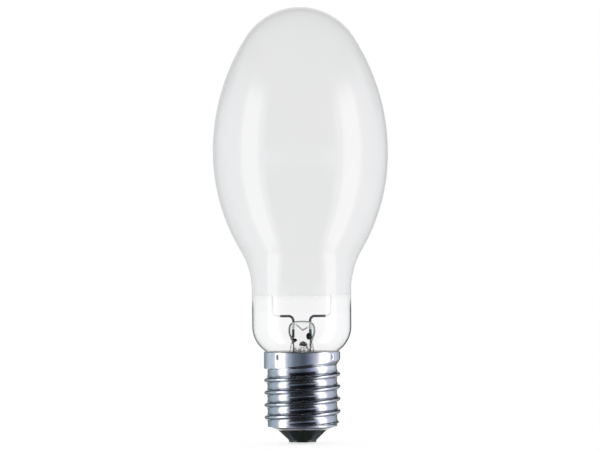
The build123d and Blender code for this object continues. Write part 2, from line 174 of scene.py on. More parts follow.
class Socket:
    """A shader value that takes part in Python arithmetic: each operator adds one Math node."""

    def __init__(self, finish, link):
        self.finish, self.link = finish, link

    def __add__(self, other):
        return self.finish.maths("ADD", self, other)

    def __sub__(self, other):
        return self.finish.maths("SUBTRACT", self, other)

    def __rsub__(self, other):
        return self.finish.maths("SUBTRACT", other, self)

    def __mul__(self, other):
        return self.finish.maths("MULTIPLY", self, other)

    def __truediv__(self, other):
        return self.finish.maths("DIVIDE", self, other)

    def __pow__(self, other):
        return self.finish.maths("POWER", self, other)

    def rise(self, low, high):
        """0 below low, 1 above high, and a smooth rise between."""
        settings = {"interpolation_type": "SMOOTHSTEP"}
        inputs = {"Value": self, "From Min": low, "From Max": high}
        return self.finish.node("ShaderNodeMapRange", settings, inputs)[0]

    __radd__ = __add__
    __rmul__ = __mul__


class Finish:
    """A node material, or the world's nodes. node() adds any node: its settings first, then the
    values or links of its inputs. It gives back the outputs."""

    def __init__(self, owner):
        owner.use_nodes = True
        self.owner = owner
        self.tree = owner.node_tree
        self.tree.nodes.clear()

    def node(self, kind, settings=None, inputs=None):
        made = self.tree.nodes.new(kind)
        for key, value in (settings or {}).items():
            setattr(made, key, value)
        for key, value in (inputs or {}).items():
            if isinstance(value, Socket):
                self.tree.links.new(value.link, made.inputs[key])
            else:
                made.inputs[key].default_value = value
        return [Socket(self, output) for output in made.outputs]

    def read(self, kind, name):
        """The output of this name on a node without inputs, such as Texture Coordinate."""
        return Socket(self, self.tree.nodes.new(kind).outputs[name])

    def ray(self, question):
        """The Light Path output of this name."""
        return self.read("ShaderNodeLightPath", question)

    def maths(self, operation, *values):
        return self.node("ShaderNodeMath", {"operation": operation}, dict(enumerate(values)))[0]

    def vectors(self, operation, first, second):
        """Vector Math on two vectors. Its outputs are a vector and a number."""
        return self.node("ShaderNodeVectorMath", {"operation": operation}, {0: first, 1: second})

    def scaled(self, vector, factor):
        """A vector or a colour times a number."""
        inputs = {0: vector, "Scale": factor}
        return self.node("ShaderNodeVectorMath", {"operation": "SCALE"}, inputs)[0]

    def place(self):
        """Object coordinates in millimetres: x, y, z and the vector itself."""
        here = self.scaled(self.read("ShaderNodeTexCoord", "Object"), 1 / MM)
        return *self.node("ShaderNodeSeparateXYZ", None, {0: here}), here

    def noise(self, here, scale, detail=3.0, stretch=(1.0, 1.0, 1.0)):
        """Noise from 0 to 1, on coordinates stretched along each axis."""
        stretched = self.vectors("MULTIPLY", here, stretch)[0]
        inputs = {"Vector": stretched, "Scale": scale, "Detail": detail}
        return self.node("ShaderNodeTexNoise", None, inputs)[0]

    def blend(self, factor, first, second):
        """A colour between two, by a factor from 0 to 1. Either is a colour or a link to one. The
        colours of a Mix node are its inputs 6 and 7 and its output 2."""
        first, second = [end if isinstance(end, Socket) else (*end, 1.0) for end in (first, second)]
        inputs = {0: factor, 6: first, 7: second}
        return self.node("ShaderNodeMix", {"data_type": "RGBA"}, inputs)[2]

    def bump(self, height, depth):
        """A normal bent by a height from 0 to 1 that stands for this depth in millimetres."""
        inputs = {"Height": height, "Strength": 1.0, "Distance": depth * MM}
        return self.node("ShaderNodeBump", None, inputs)[0]

    def glass_skin(self, normal, thick=1.0, outer=1.0):
        """Glass so thin that light crosses it unbent, with a reflection that grows towards the edge,
        on outer faces seen from outside. Where it is thick the edge is all reflection."""
        shine = self.node("ShaderNodeBsdfGlossy", None, {"Roughness": 0.0, "Normal": normal})[0]
        outside = (1 - self.read("ShaderNodeNewGeometry", "Backfacing")) * outer
        fresnel = self.node("ShaderNodeFresnel", None, {"IOR": GLASS_IOR, "Normal": normal})[0]
        share = fresnel * outside
        share = self.maths("MINIMUM", share + share.rise(*THICK_EDGE) * THICK_GAIN * thick, 1.0)
        clear = self.node("ShaderNodeBsdfTransparent", None, {"Color": (*GLASS_TINT, 1.0)})[0]
        return self.mixed(share, clear, shine)

    def surface(self, **inputs):
        """The Principled surface, with its sockets' names in words joined by underscores, sent to
        the output. It gives back the material."""
        named = {key.replace("_", " "): value for key, value in inputs.items()}
        return self.done(self.node("ShaderNodeBsdfPrincipled", None, named)[0])

    def mixed(self, factor, first, second):
        """Two shaders in one, all of the second where the factor is 1."""
        return self.node("ShaderNodeMixShader", None, {0: factor, 1: first, 2: second})[0]

    def done(self, shader, output="ShaderNodeOutputMaterial"):
        """Sends a shader to the output, and gives the material or world back."""
        self.node(output, None, {"Surface": shader})
        return self.owner


def blown_glass():
    """Clear blown glass with a slow ripple, whose wall is thickest in the neck. A face is an outer
    one where its normal points away from the middle of the bulb."""
    finish = Finish(bpy.data.materials.new("bulb_glass"))
    z, here = finish.place()[2:]
    ripple = finish.bump(finish.noise(here, RIPPLE_SCALE, 2.0), RIPPLE_DEPTH)
    away = finish.vectors("SUBTRACT", here, (0.0, 0.0, EQUATOR))[0]
    facing = finish.vectors("DOT_PRODUCT", away, finish.read("ShaderNodeTexCoord", "Normal"))[1]
    outer = finish.maths("GREATER_THAN", facing, 0.0)
    return finish.done(finish.glass_skin(ripple, 1 - z.rise(*THICK_BELOW), outer))


bulb_glass = blown_glass()
bulb_section = np.concatenate([bulb_line(0.0), bulb_line(GLASS_WALL)[::-1]])
bulb = piece("bulb_envelope", *turned(bulb_section, BULB_COLUMNS), bulb_glass, "bulb_glass")
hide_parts("outer_bulb")

# Coating: white powder baked on the inside of the bulb. It is dense down to the top of the
# neck, thin in a narrow band below that, and the rest of the neck is left clear.
COAT_END = 72.4
COAT_GAP = 0.03
COAT_THICKNESS = 0.03
# the heights over which the thin part and then the dense part set in
COAT_THIN = (72.6, 75.4)
COAT_DENSE = (75.7, 77.5)
COAT_WAVER = 1.2
COAT_GLOW = 0.12
COAT_BAND = 0.05
COAT_TONES = ((0.955, 0.96, 0.96), (0.98, 0.98, 0.98))


def coating_powder():
    """A matt white powder that covers all above its dense edge and thins out in the band below."""
    finish = Finish(bpy.data.materials.new("coating_powder"))
    z, here = finish.place()[2:]
    edge = z + (finish.noise(here, 0.12, 2.0) - 0.5) * COAT_WAVER
    dense = edge.rise(*COAT_DENSE)
    band = edge.rise(*COAT_THIN)
    cloud = finish.noise(here, 0.02).rise(0.3, 0.7)
    white = finish.blend(cloud, *COAT_TONES)
    settings = {"Base Color": white, "Roughness": 0.9, "Specular IOR Level": 0.1}
    face = finish.node("ShaderNodeBsdfPrincipled", None, settings)[0]
    glow = finish.node("ShaderNodeBsdfTranslucent", None, {"Color": (0.9, 0.9, 0.9, 1.0)})[0]
    powder = finish.mixed(COAT_GLOW, face, glow)
    bare = finish.node("ShaderNodeBsdfTransparent")[0]
    return finish.done(finish.mixed(band * COAT_BAND + dense * (1 - COAT_BAND), bare, powder))


def coat_line(inset):
    """The coating's outline this far inside the glass, down to the end of its thin band."""
    line = bulb_line(GLASS_WALL + inset)
    return line[line[:, 1] >= COAT_END]


coat_section = np.concatenate([coat_line(COAT_GAP), coat_line(COAT_GAP + COAT_THICKNESS)[::-1]])
piece("bulb_coating", *turned(coat_section, BULB_COLUMNS), coating_powder(), "bulb_glass")

# Stem: a flared glass tube, softened and pinched round the exhaust tube, and pressed flat on
# the lead wires. Its flare is melted to the foot of the bulb's neck.
STEM_WALL = 1.3
STEM_COLUMNS = 192
STEM_ROWS = 130
FLARE_RADIUS = 9.0
FLARE_TURN = 80.0
FLARE_STEPS = 16
FLAT_BELOW = 30.0
FLAT_WALL = 0.75
# sections up the stem: height, half width, half depth and squareness of the outline
STEM_SECTIONS = [
    (45.2, 6.5, 6.5, 2.0),
    (47.6, 6.35, 4.9, 2.0),
    (50.0, 5.95, 3.6, 2.1),
    (52.4, 5.65, 3.0, 2.3),
    (54.6, 6.2, 2.7, 2.6),
    (56.8, 6.95, 2.5, 3.0),
    (59.4, 6.9, 2.4, 3.0),
    (61.2, 6.2, 2.2, 2.8),
    (62.4, 4.8, 1.6, 2.6),
    (62.95, 2.6, 0.9, 2.4),
    (63.1, 0.0, 0.0, 2.0),
]
CAVITY_TOP = 46.6
# the mark of the jaws, the vent beside the exhaust tube, and the clear glass round them
PINCH_MARK = [(-3.4, 61.6), (0.5, 58.3), (3.2, 59.8)]
MARK_WIDTH = 0.38
MARK_DEPTH = 0.4
MARK_EDGE = (0.35, 0.7)
MARK_FADE = 0.4
# how strong the painted shade in the jaws' mark is
MARK_SHADE = 0.85
VENT_X = 0.6
VENT_Z = 51.2
VENT_HALF = (2.2, 1.3)
VENT_DEPTH = 1.6
VENT_EDGE = (0.75, 1.15)
VENT_WAVER = 2.4
VENT_SCALE = 0.55
FRONT_FADE = (-0.6, 0.0)
SOLID_FROM = (51.0, 51.8)
STREAK_SCALE = 0.8
STREAK_STRETCH = (1.0, 1.0, 0.12)
STREAK_EDGE = (0.47, 0.59)
STREAK_SHARE = 0.6
PRESS_IOR = 1.3
PRESS_SCALE = 0.12
PRESS_DEPTH = 0.08
# the clear glass of the press, and the near black painted as shade in the jaws' mark and the vent
PRESS_GLASS_AND_SHADE_TONES = ((0.98, 0.985, 0.98), (0.01, 0.01, 0.01))


def eased(keys, rows):
    """Rows between key rows, each value following a smooth curve through the keys (a cubic whose
    slope at a key is that between its neighbours), with rows shared out evenly."""
    keys = np.asarray(keys, float)
    slopes = np.gradient(keys, axis=0)
    place = np.linspace(0, len(keys) - 1, rows)
    low = np.minimum(place.astype(int), len(keys) - 2)
    t = (place - low)[:, None]
    near = (2 * t**3 - 3 * t**2 + 1) * keys[low] + (t**3 - 2 * t**2 + t) * slopes[low]
    far = (3 * t**2 - 2 * t**3) * keys[low + 1] + (t**3 - t**2) * slopes[low + 1]
    return near + far


def oval(sections, columns):
    """Stacked closed outlines |x/a|^n + |y/b|^n = 1, one for each (z, a, b, n): the point at
    angle t is (a cos t, b sin t) over the n-th root of |cos t|^n + |sin t|^n."""
    t = np.linspace(0, 2 * math.pi, columns, endpoint=False)
    z, a, b, n = np.asarray(sections, float).T[:, :, None]
    root = (np.abs(np.cos(t)) ** n + np.abs(np.sin(t)) ** n) ** (1 / n)
    x, y = a * np.cos(t) / root, b * np.sin(t) / root
    return np.stack([x, y, np.broadcast_to(z, x.shape)], -1)


def from_line(x, z, corners):
    """Distance of every (x, z) from a broken line: the least over its runs, each with the nearest
    point at the share of the run, held between 0 and 1, where the offset is square to it."""
    runs = []
    for (ax, az), (bx, bz) in zip(corners, corners[1:]):
        dx, dz = bx - ax, bz - az
        share = np.clip(((x - ax) * dx + (z - az) * dz) / (dx * dx + dz * dz), 0, 1)
        runs.append(np.hypot(x - ax - share * dx, z - az - share * dz))
    return np.minimum.reduce(runs)


def round_rows(profile):
    """Sections of a round tube from (r, z) points."""
    return [(z, r, r, 2.0) for r, z in profile]


stem_radius = STEM_SECTIONS[0][1]
flare_run = (FLARE_RADIUS, FLARE_TURN, FLARE_STEPS)
flare_outer = tangent_arcs((stem_radius, SEAL_Z + FLARE_RADIUS), -90.0, [flare_run])
flare_line = np.concatenate([[(SEAL_RADIUS - 0.4, SEAL_Z + 0.3)], flare_outer[::-1]])
stem_outer = round_rows(flare_line) + eased(STEM_SECTIONS, STEM_ROWS).tolist()
# where the flare lies nearly flat, its wall is also measured upwards
stem_inner = [
    (z + STEM_WALL * (FLAT_WALL if z < FLAT_BELOW else 0.0), a - STEM_WALL, b - STEM_WALL, n)
    for z, a, b, n in round_rows(flare_line)
]
cavity = stem_radius - STEM_WALL
cavity_end = [(cavity, CAVITY_TOP - 1.5), (0.85 * cavity, CAVITY_TOP - 0.4), (0.0, CAVITY_TOP)]
stem_inner += round_rows(cavity_end)
stem_points = oval(stem_inner[::-1] + stem_outer, STEM_COLUMNS)
# the jaws leave a mark in the front of the press, and the vent is a pit blown into the pinch
x, y, z = np.moveaxis(stem_points, -1, 0)
front = (y < 0) & (z > CAVITY_TOP)
pit = VENT_DEPTH * np.exp(-(np.hypot((x - VENT_X) / VENT_HALF[0], (z - VENT_Z) / VENT_HALF[1]) ** 4))
mark = MARK_DEPTH * np.exp(-((from_line(x, z, PINCH_MARK) / MARK_WIDTH) ** 2))
stem_points[:, :, 1] += np.where(front, pit + mark, 0.0)


def stem_finish():
    """Clear glass, solid enough in the press to bend light and in streaks below it, with painted
    shade, near black, in the lines where the jaws and the vent broke its face. The mark is the higher
    of two slopes from its low point, at the front, and the vent an ellipse with an uneven edge."""
    finish = Finish(bpy.data.materials.new("stem_glass"))
    x, y, z, here = finish.place()
    left, low, right = PINCH_MARK
    falls = (left[1] - low[1]) / (left[0] - low[0])
    climbs = (right[1] - low[1]) / (right[0] - low[0])
    line = finish.maths("MAXIMUM", (x - low[0]) * falls, (x - low[0]) * climbs) + low[1]
    beside = finish.maths("ABSOLUTE", z - line)
    ends = x.rise(left[0], left[0] + MARK_FADE) * (1 - x.rise(right[0] - MARK_FADE, right[0]))
    mark = (1 - beside.rise(*MARK_EDGE)) * ends
    wide, tall = (x - VENT_X) / VENT_HALF[0], (z - VENT_Z) / VENT_HALF[1]
    uneven = (finish.noise(here, VENT_SCALE, 2.0) - 0.5) * VENT_WAVER
    vent = 1 - (wide * wide + tall * tall + uneven).rise(*VENT_EDGE)
    # painted shade: the mark and the vent are coloured near black for the shade in these recesses
    dark = finish.maths("MAXIMUM", mark * MARK_SHADE, vent) * (1 - y.rise(*FRONT_FADE))
    ripple = finish.bump(finish.noise(here, PRESS_SCALE, 2.0), PRESS_DEPTH)
    glass = {"Roughness": 0.0, "IOR": PRESS_IOR, "Transmission Weight": 1.0, "Normal": ripple}
    glass["Base Color"] = finish.blend(dark, *PRESS_GLASS_AND_SHADE_TONES)
    press = finish.node("ShaderNodeBsdfPrincipled", None, glass)[0]
    streaks = finish.noise(here, STREAK_SCALE, 2.0, STREAK_STRETCH).rise(*STREAK_EDGE)
    bending = finish.maths("MAXIMUM", z.rise(*SOLID_FROM), vent)
    bending = finish.maths("MAXIMUM", bending, streaks * STREAK_SHARE)
    return finish.done(finish.mixed(bending, finish.glass_skin(ripple), press))


stem_glass = stem_finish()
stem_faces = grid_faces(len(stem_points), STEM_COLUMNS)
stem = piece("stem_press", stem_points, stem_faces, stem_glass, "stem_glass")
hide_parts("stem_flare")

# Exhaust tube: the thin glass tube through which the bulb was emptied. It is melted to the pinch
# of the stem, hangs down inside the cap and is melted shut at its tip.
EXHAUST_RADIUS = 2.5
EXHAUST_WALL = 0.9
EXHAUST_TIP = 17.0
EXHAUST_TOP = 46.0
TIP_STEPS = 12
EXHAUST_COLUMNS = 64


def tube_with_tip(radius, tip):
    """The outline of a tube with a half-round end at its tip, from the pole upwards."""
    round_end = tangent_arcs((0.0, tip), 0.0, [(radius, 90.0, TIP_STEPS)])
    return np.concatenate([round_end, [(radius, EXHAUST_TOP)]])


exhaust_section = np.concatenate(
    [
        tube_with_tip(EXHAUST_RADIUS, EXHAUST_TIP),
        tube_with_tip(EXHAUST_RADIUS - EXHAUST_WALL, EXHAUST_TIP + EXHAUST_WALL)[::-1],
    ]
)
exhaust_mesh = turned(exhaust_section, EXHAUST_COLUMNS)
exhaust = piece("exhaust_pipe", *exhaust_mesh, stem_glass, "stem_glass")
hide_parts("exhaust_tube")

# Lead rods: stiff wires sealed in the press, bent outwards to carry the frame, their surface
# darkened by the sealing flames. Flexible leads are welded to them inside the stem.
LEAD_X = 4.3
LEAD_RADIUS = 0.65
ROD_FOOT = 54.5
ROD_LEVEL = 65.5
ROD_BEND = 2.4
LEFT_REACH = -11.0
RIGHT_REACH = 12.3
BEND_STEPS = 12
WIRE_SIDES = 20
END_SLOPE = 0.3
END_FACE = 0.75
SEALED_FROM = 58.8
SEALED_TO = 62.6
SEALED_FADE = 0.6


def filleted(points, bends):
    """A flat route through (x, z) points with a round bend at each corner: the arc leaves each
    run one tangent length, radius times tan of half the turn, before the corner."""
    points = np.asarray(points, float)
    route = [points[:1]]
    for before, corner, after, bend in zip(points, points[1:], points[2:], bends):
        inward = (corner - before) / np.linalg.norm(corner - before)
        outward = (after - corner) / np.linalg.norm(after - corner)
        turn = math.atan2(inward[0] * outward[1] - inward[1] * outward[0], inward @ outward)
        start = corner - inward * bend * math.tan(abs(turn) / 2)
        heading = math.degrees(math.atan2(inward[1], inward[0]))
        route.append(tangent_arcs(start, heading, [(bend, math.degrees(turn), BEND_STEPS)]))
    return np.concatenate([*route, points[-1:]])


def wire(corners, bends, radius, y=0.0):
    """A round wire in a plane at y, through (x, z) corners with round bends: at each point of the
    route a circle, the radius times cos t along y and sin t across y and the tangent. A smaller ring
    and a pole at each end round it off."""
    route = filleted(corners, bends)
    path = np.stack([route[:, 0], np.full(len(route), y), route[:, 1]], 1)
    start, end = path[1] - path[0], path[-1] - path[-2]
    start, end = start / np.linalg.norm(start), end / np.linalg.norm(end)
    near, far = path[0] + start * radius * END_SLOPE, path[-1] - end * radius * END_SLOPE
    path = np.concatenate([path[:1], path[:1], [near], path[1:-1], [far], path[-1:], path[-1:]])
    size = np.full(len(path), radius)
    size[[0, -1]] = 0.0
    size[[1, -2]] = END_FACE * radius
    tangent = np.gradient(path, axis=0)
    tangent[:2], tangent[-2:] = start, end
    tangent /= np.linalg.norm(tangent, axis=1)[:, None]
    along = np.broadcast_to([0.0, 1.0, 0.0], path.shape)
    across = np.cross(tangent, along)
    t = np.linspace(0, 2 * math.pi, WIRE_SIDES, endpoint=False)[None, :, None]
    ring = np.cos(t) * along[:, None, :] + np.sin(t) * across[:, None, :]
    return path[:, None, :] + size[:, None, None] * ring, grid_faces(len(path), WIRE_SIDES)


def wire_finish(name, dark, light, rough, grain_depth=0.02, metallic=1.0, **more):
    """Drawn metal wire: two tones in soft patches, with a fine grain in its face, and any more
    inputs of the surface."""
    finish = Finish(bpy.data.materials.new(name))
    here = finish.place()[3]
    patches = finish.noise(here, 0.5)
    grain = finish.noise(here, 8.0, 2.0)
    return finish.surface(
        Base_Color=finish.blend(patches.rise(0.35, 0.65), dark, light),
        Metallic=metallic,
        Roughness=rough + (patches - 0.5) * 0.2,
        Normal=finish.bump(grain, grain_depth),
        **more,
    )


def lead_finish():
    """Lead wire: dark above and below, and bright where the glass of the press has wetted it."""
    finish = Finish(bpy.data.materials.new("lead_wire"))
    z, here = finish.place()[2:]
    patches = finish.noise(here, 0.5)
    height = z + patches
    wetted = height.rise(SEALED_FROM, SEALED_FROM + SEALED_FADE)
    sealed = wetted * (1 - height.rise(SEALED_TO, SEALED_TO + SEALED_FADE))
    dark = finish.blend(patches.rise(0.35, 0.65), (0.07, 0.07, 0.075), (0.12, 0.12, 0.125))
    return finish.surface(
        Base_Color=finish.blend(sealed, dark, (0.9, 0.9, 0.9)),
        Metallic=0.25 - sealed * 0.15,
        Roughness=0.6 + patches * 0.15,
    )


lead_metal = lead_finish()
left_rod = [(-LEAD_X, ROD_FOOT), (-LEAD_X, ROD_LEVEL), (LEFT_REACH, ROD_LEVEL)]
right_rod = [(LEAD_X, ROD_FOOT), (LEAD_X, ROD_LEVEL), (RIGHT_REACH, ROD_LEVEL)]
for side, rod in {"left": left_rod, "right": right_rod}.items():
    lead = piece(f"lead_wire_{side}", *wire(rod, [ROD_BEND], LEAD_RADIUS), lead_metal, "lead_wire")
    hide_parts(f"lead_rod_{side}")

# Weld knots: small dark lumps where each flexible lead, a thin soft wire that goes down to the
# contact or to the shell, is melted to the foot of its rod.
# each knot: its centre and its half sizes
KNOTS = {
    "left": ((-3.5, 0.0, 53.1), (1.1, 0.9, 0.95)),
    "right": ((3.6, 0.0, 55.1), (1.45, 1.1, 1.75)),
}
KNOT_ROWS = 24
KNOT_COLUMNS = 32
KNOT_SWELL = 0.18


def lump(centre, half, seed):
    """A ball with half sizes along each axis. At angle u round it and v down it, its radius is
    swelled by slow waves: sin(2u + seed) times sin(3v + seed) times sin v."""
    down = np.linspace(0, math.pi, KNOT_ROWS)
    around = np.linspace(0, 2 * math.pi, KNOT_COLUMNS, endpoint=False)
    v, u = np.meshgrid(down, around, indexing="ij")
    swell = 1 + KNOT_SWELL * np.sin(2 * u + seed) * np.sin(3 * v + seed) * np.sin(v)
    ball = np.stack([np.sin(v) * np.cos(u), np.sin(v) * np.sin(u), np.cos(v)], -1)
    return np.asarray(centre) + ball * swell[:, :, None] * np.asarray(half), grid_faces(*v.shape)


def dress(material, *names):
    """Gives CAD nodes a material in place of their own."""
    for name in names:
        nodes[name].data.materials.clear()
        nodes[name].data.materials.append(material)


knot_metal = wire_finish("weld_knot", (0.02, 0.02, 0.022), (0.07, 0.07, 0.07), 0.5, 0.1)
for side, (centre, half) in KNOTS.items():
    piece(f"weld_knot_{side}", *lump(centre, half, centre[0]), knot_metal, "lead_wire")

flexible_metal = wire_finish("flexible_lead", (0.05, 0.045, 0.04), (0.26, 0.21, 0.17), 0.5)
dress(flexible_metal, "contact_lead", "shell_lead")

# Frame rods: bright nickel wires welded behind the ends of the lead rods. The short one carries
# the foot of the arc tube, the long one its top and the spring in the dome.
FRAME_X = 15.15
FRAME_RADIUS = 0.55
FRAME_BEND = 2.4
FRAME_Y = LEAD_RADIUS + FRAME_RADIUS
SHORT_TOP = 98.0
LONG_LEVEL = 209.0
LONG_BEND = 3.0
LONG_END = -3.5
WELD_LAP = 3.0
# painted light: a faint white glow on the frame wires
FRAME_PAINTED_GLOW = 0.2

# painted light: the wires glow faintly white, lifting them out of the shade inside the coated bulb
frame_metal = wire_finish(
    "frame_wire",
    (0.86, 0.86, 0.86),
    (0.92, 0.92, 0.92),
    0.7,
    metallic=0.0,
    Specular_IOR_Level=0.05,
    Emission_Color=(1.0, 1.0, 1.0, 1.0),
    Emission_Strength=FRAME_PAINTED_GLOW,
)
short_rod = [(LEFT_REACH + WELD_LAP, ROD_LEVEL), (-FRAME_X, ROD_LEVEL), (-FRAME_X, SHORT_TOP)]
long_rod = [
    (RIGHT_REACH - WELD_LAP, ROD_LEVEL),
    (FRAME_X, ROD_LEVEL),
    (FRAME_X, LONG_LEVEL),
    (LONG_END, LONG_LEVEL),
]
for length, rod, bends in (
    ("short", short_rod, [FRAME_BEND]),
    ("long", long_rod, [FRAME_BEND, LONG_BEND]),
):
    rod_mesh = wire(rod, bends, FRAME_RADIUS, FRAME_Y)
    frame_rod = piece(f"frame_wire_{length}", *rod_mesh, frame_metal, "frame_wire")
    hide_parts(f"frame_rod_{length}")

# Arc tube: a tube of sintered alumina, closed at each end by a plug and a ring of sealing glass
# round a niobium tube, with a tungsten electrode inside each end.


def ceramic(name, colour, grain_size, rough):
    """A sintered ceramic: pale, slightly see-through, with a fine grain in tone and surface."""
    finish = Finish(bpy.data.materials.new(name))
    here = finish.place()[3]
    grain = finish.noise(here, grain_size)
    darker = tuple(0.94 * part for part in colour)
    return finish.surface(
        Base_Color=finish.blend(grain.rise(0.35, 0.65), darker, colour),
        Roughness=rough,
        Subsurface_Weight=0.25,
        Subsurface_Scale=0.002,
        Normal=finish.bump(grain, 0.01),
    )


alumina = ceramic("alumina", (0.9, 0.89, 0.86), 1.2, 0.4)
sealing_glass = ceramic("sealing_glass", (0.62, 0.6, 0.5), 1.6, 0.25)
niobium = wire_finish("niobium", (0.36, 0.36, 0.38), (0.46, 0.46, 0.47), 0.35)
tungsten = wire_finish("tungsten", (0.14, 0.14, 0.15), (0.24, 0.24, 0.25), 0.45)
amalgam = wire_finish("amalgam", (0.68, 0.68, 0.69), (0.78, 0.78, 0.78), 0.15)
dress(alumina, "arc_tube", "end_plug_upper", "end_plug_lower")
dress(sealing_glass, "sealing_ring_upper", "sealing_ring_lower")
dress(niobium, "niobium_tube_upper", "niobium_tube_lower")
dress(tungsten, "electrode_upper", "electrode_lower")
dress(amalgam, "amalgam_dose")

# Supports, expansion strap and spring: thin bright metal strip, stamped, bent and spot-welded. The
# supports and the strap carry the arc tube on the rods, and the spring on the long rod's top
# steadies the frame in the dome.
strip_metal = wire_finish("support_strip", (0.58, 0.58, 0.57), (0.68, 0.68, 0.66), 0.3)
dress(strip_metal, "support_strip_lower", "support_strip_upper", "expansion_strap")
dress(wire_finish("spring_strip", (0.5, 0.51, 0.53), (0.62, 0.63, 0.65), 0.25), "dome_spring")

# Getter: a shallow ring of grey getter metal, flashed after the bulb is emptied. A bent wire,
# welded to the long rod, holds it clear of the frame.
dress(wire_finish("getter_ring", (0.16, 0.155, 0.15), (0.3, 0.29, 0.28), 0.55, 0.05), "getter_ring")
dress(strip_metal, "getter_holder")

# Screw shell: nickel-plated brass sheet, rolled with a right-handed round thread, a plain skirt
# above it and a rolled-in lip that holds the insulator. Four stakes lock it to the glass.
CREST_RADIUS = 19.6
SKIRT_RADIUS = 19.65
ROOT_RADIUS = 17.85
SHEET = 0.4
RIM_Z = 47.3
PITCH = 6.35
FIRST_CREST = 10.45
CREST_ROUND = 1.25
VALLEY_ROUND = 0.4
VALLEY_SAG = 0.65
# the ridge fades into the skirt over this part of a turn, this many turns up
RIDGE_LAST = 4.2
RIDGE_FADE = 0.3
WALL_BOTTOM = 11.6
BOTTOM_ROUND = 3.6
BOTTOM_TURN = 72.0
BOTTOM_STEPS = 24
RUN_OUT_RADIUS = 16.9
RUN_OUT_Z = 8.9
RUN_OUT_BLEND = 0.5
LIP_RADIUS = 12.9
LIP_Z = 7.25
# the skirt's lower edge climbs and slants more on the right, where it follows the thread
SKIRT_EDGE = 39.3
SKIRT_CLIMB = 1.05
SKIRT_STEP = 0.55
SKIRT_SLANT = 2.5
SKIRT_CURVE = 1.25
STAKE_ANGLES = (-130.0, -38.0, 52.0, 140.0)
STAKE_Z = 44.8
STAKE_WIDTH = 1.1
STAKE_LENGTH = 3.0
STAKE_DEPTH = 0.45
STAKE_SHADE = (0.06, 0.3)
STAKE_FOOT = (43.5, 43.9)
STAKE_HEAD = (46.3, 46.7)
CAP_COLUMNS = 240
STAKE_COLUMNS = 12
CAP_STEP = 0.17
CEMENT_Z = 44.0
PLATING_TONES = ((0.62, 0.64, 0.68), (0.7, 0.71, 0.735))
# the thread's plating colour, darkened as painted shade
THREAD_PAINTED_SHADE = (0.46, 0.48, 0.52)
STAKE_SHADOW = (0.05, 0.055, 0.065)
CEMENT_WHITE = (0.94, 0.94, 0.92)


def smooth(t):
    """0 to 1 with level ends, for t from 0 to 1."""
    t = np.clip(t, 0, 1)
    return t * t * (3 - 2 * t)


def ridge_height(across):
    """Height of the thread over its valley at a distance from the crest's middle: a circle at the
    crest that meets a hollow circle in the valley on their common tangent."""
    depth = CREST_RADIUS - ROOT_RADIUS - VALLEY_SAG
    both = CREST_ROUND + VALLEY_ROUND
    half = math.sqrt(both**2 - (both - depth) ** 2)
    d = np.abs(across)
    crest = depth - CREST_ROUND + np.sqrt(np.maximum(CREST_ROUND**2 - d**2, 0))
    valley = VALLEY_ROUND - np.sqrt(np.maximum(VALLEY_ROUND**2 - (d - half) ** 2, 0))
    ridge = np.where(d < half * CREST_ROUND / both, crest, np.where(d < half, valley, 0.0))
    return ridge + VALLEY_SAG * (1 + np.cos(2 * math.pi * across / PITCH)) / 2


def shell_radius(angle, z):
    """Outer radius of the shell: the wall with its ridge, cut by the run-out cone at the bottom
    (the lower of the two, rounded where they meet), or the skirt where that is larger, less the
    stakes. The ridge's crest climbs one pitch a turn."""
    climb = (z - FIRST_CREST) / PITCH - angle / (2 * math.pi)
    turn = np.round(climb)
    across = (climb - turn) * PITCH
    along = turn + angle / (2 * math.pi)
    ridge = ridge_height(across) * (1 - smooth((along - RIDGE_LAST) / RIDGE_FADE))
    bottom = np.sqrt(np.maximum(BOTTOM_ROUND**2 - np.minimum(z - WALL_BOTTOM, 0) ** 2, 0))
    wall = ROOT_RADIUS - BOTTOM_ROUND + bottom
    cone = RUN_OUT_RADIUS + (z - RUN_OUT_Z)
    full = ROOT_RADIUS + ridge
    threaded = np.maximum(wall, (full + cone - np.hypot(full - cone, RUN_OUT_BLEND)) / 2)
    edge = SKIRT_EDGE + SKIRT_CLIMB * np.cos(angle)
    slant = SKIRT_STEP + SKIRT_SLANT * ((1 + np.cos(angle)) / 2) ** 2
    below_top = 1 - np.clip((z - edge) / slant, 0, 1)
    skirt = SKIRT_RADIUS - (SKIRT_RADIUS - ROOT_RADIUS) * below_top**SKIRT_CURVE
    radius = np.maximum(threaded, skirt)
    for stake in STAKE_ANGLES:
        around = (angle - math.radians(stake) + math.pi) % (2 * math.pi) - math.pi
        sideways = np.abs(around) * SKIRT_RADIUS / (STAKE_WIDTH / 2)
        upright = np.abs(z - STAKE_Z) / (STAKE_LENGTH / 2)
        radius = radius - STAKE_DEPTH * np.exp(-(sideways**2)) * np.exp(-(upright**4))
    return radius


def cap_angles():
    """Even angles round the cap, with more of them across each stake."""
    even = np.linspace(-math.pi, math.pi, CAP_COLUMNS, endpoint=False)
    across = np.linspace(-1.2, 1.2, STAKE_COLUMNS) * STAKE_WIDTH / SKIRT_RADIUS
    near = (np.radians(STAKE_ANGLES)[:, None] + across).ravel()
    away = np.abs(even[:, None] - near).min(axis=1) > 0.5 * (across[1] - across[0])
    return np.sort(np.concatenate([even[away], near]))


